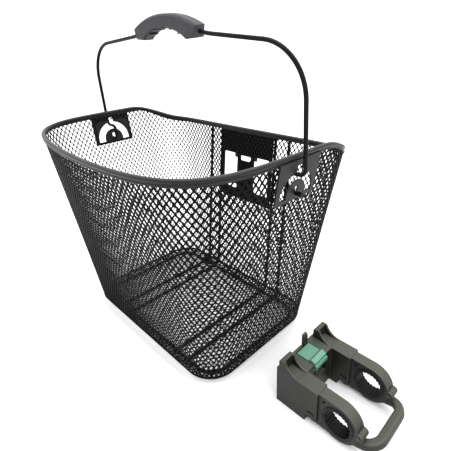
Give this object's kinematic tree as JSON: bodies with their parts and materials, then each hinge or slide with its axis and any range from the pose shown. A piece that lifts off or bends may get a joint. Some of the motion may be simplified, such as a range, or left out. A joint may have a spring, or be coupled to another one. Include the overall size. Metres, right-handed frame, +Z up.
{
  "type": "bicycle handlebar basket",
  "caption": "Flared wire-mesh bicycle basket with a swinging wire carrying handle, a docking plate on its back wall, and a loose quick-release handlebar bracket beside it.",
  "frame": {"origin": "on the ground under the middle of the basket's base", "axes": "+X to the rider's right along the handlebar, +Y back towards the rider, +Z up"},
  "size_m": [0.465, 0.2449, 0.3771],
  "materials": {
    "mesh": "satin powder coat",
    "rim": "satin powder coat",
    "wire": "satin powder coat",
    "plate": "satin powder coat",
    "grip": "smooth, slightly glossy",
    "bracket": "fine grain",
    "shim": "matt",
    "button": "smooth",
    "screw": "satin black",
    "steel": "bright"
  },
  "bodies": {
    "basket": {"wall_mesh": "mesh", "base_mesh": "mesh", "rim_tube": "rim", "base_ring": "wire", "support_wire_left_outer": "wire", "support_wire_left_inner": "wire", "support_wire_right_inner": "wire", "support_wire_right_outer": "wire", "mounting_plate": "plate", "pivot_plate_left": "plate", "pivot_plate_right": "plate"},
    "handle": {"handle_wire": "wire", "grip_front": "grip", "grip_back": "grip"},
    "bracket": {"bracket_housing": "bracket", "clamp_strap_near": "bracket", "clamp_strap_far": "bracket", "clamp_loop": "bracket", "hinge_pin_near": "steel", "hinge_pin_far": "steel", "clamp_nut_near": "steel", "clamp_nut_far": "steel", "shim_near_upper": "shim", "shim_near_lower": "shim", "shim_far_upper": "shim", "shim_far_lower": "shim", "release_pin": "steel", "release_spring": "steel"},
    "release": {"release_button": "button", "release_catch": "bracket"},
    "screw_near": {"clamp_screw_near": "screw"},
    "screw_far": {"clamp_screw_far": "screw"}
  },
  "joints": [
    {"name": "handle_swing", "type": "hinge", "parent": "basket", "child": "handle", "pos_m": [0, -0.003, 0.216], "axis": [1, 0, 0], "range_deg": [-92, 87]},
    {"name": "bracket_lift", "type": "slide", "parent": "basket", "child": "bracket", "axis": [0, 0, 1], "range_m": [0, 0.12]},
    {"name": "release_rock", "type": "hinge", "parent": "bracket", "child": "release", "pos_m": [0.193, -0.004, 0.034], "axis": [0, 1, 0], "range_deg": [0, 8], "stiffness_Nm_per_rad": 0.5, "springref_deg": -8.59, "deforming": ["release_spring"]},
    {"name": "screw_near_spin", "type": "hinge", "parent": "bracket", "child": "screw_near", "pos_m": [0.22, -0.0335, 0.01], "axis": [0, 0, 1], "continuous": true},
    {"name": "screw_far_spin", "type": "hinge", "parent": "bracket", "child": "screw_far", "pos_m": [0.22, 0.0255, 0.01], "axis": [0, 0, 1], "continuous": true}
  ]
}
